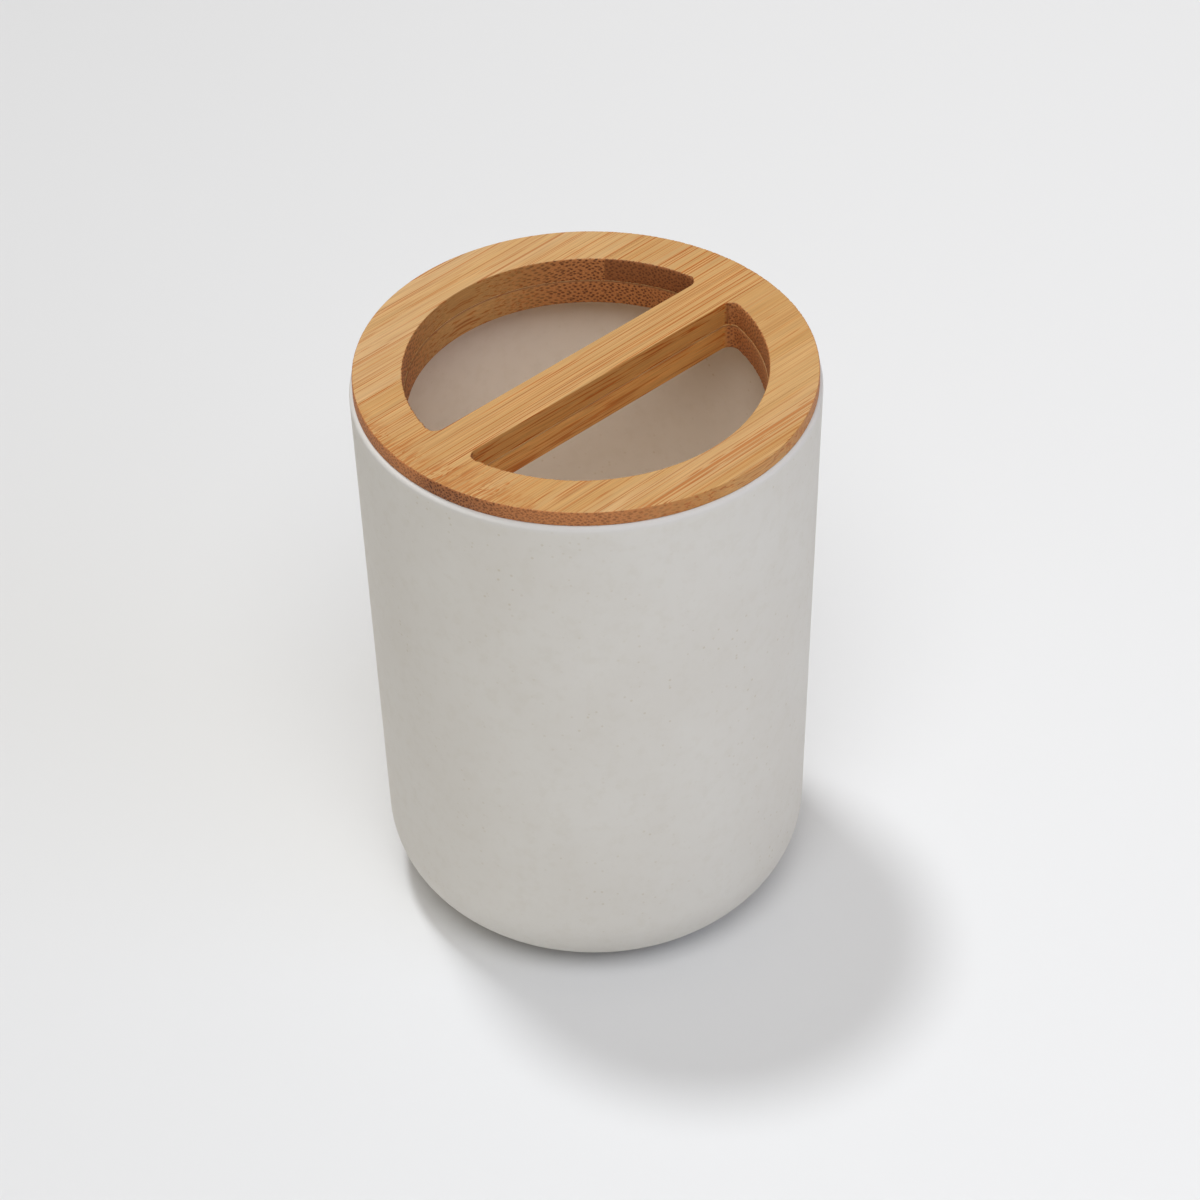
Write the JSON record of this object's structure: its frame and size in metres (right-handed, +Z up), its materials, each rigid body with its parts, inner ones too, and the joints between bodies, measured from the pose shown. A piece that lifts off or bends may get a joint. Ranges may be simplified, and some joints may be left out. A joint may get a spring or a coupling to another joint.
{
  "type": "pen holder cup",
  "caption": "Round drafted cup with a rounded base and a lift-out bamboo lid that has two D-shaped pen openings either side of a bar.",
  "frame": {"origin": "middle of the base, on the surface that the cup stands on", "axes": "+Z up along the cup's axis, X along the bar of the lid, +Y to the rear"},
  "size_m": [0.075, 0.075, 0.1039],
  "materials": {
    "ceramic": "matte off-white with fine faint specks",
    "bamboo_upper": "sanded and oiled bamboo",
    "bamboo_lower": "sanded and oiled bamboo"
  },
  "bodies": {
    "cup": {"cup_body": "ceramic"},
    "lid": {"upper_strip_rear": "bamboo_upper", "upper_strip_centre": "bamboo_upper", "upper_strip_front_left": "bamboo_upper", "upper_strip_front_right": "bamboo_upper", "upper_strip_front": "bamboo_upper", "lower_strip_rear": "bamboo_lower", "lower_strip_centre": "bamboo_lower", "lower_strip_front": "bamboo_lower"}
  },
  "joints": [
    {"name": "lid_lift", "type": "slide", "parent": "cup", "child": "lid", "axis": [0, 0, 1], "range_m": [0, 0.04]}
  ]
}
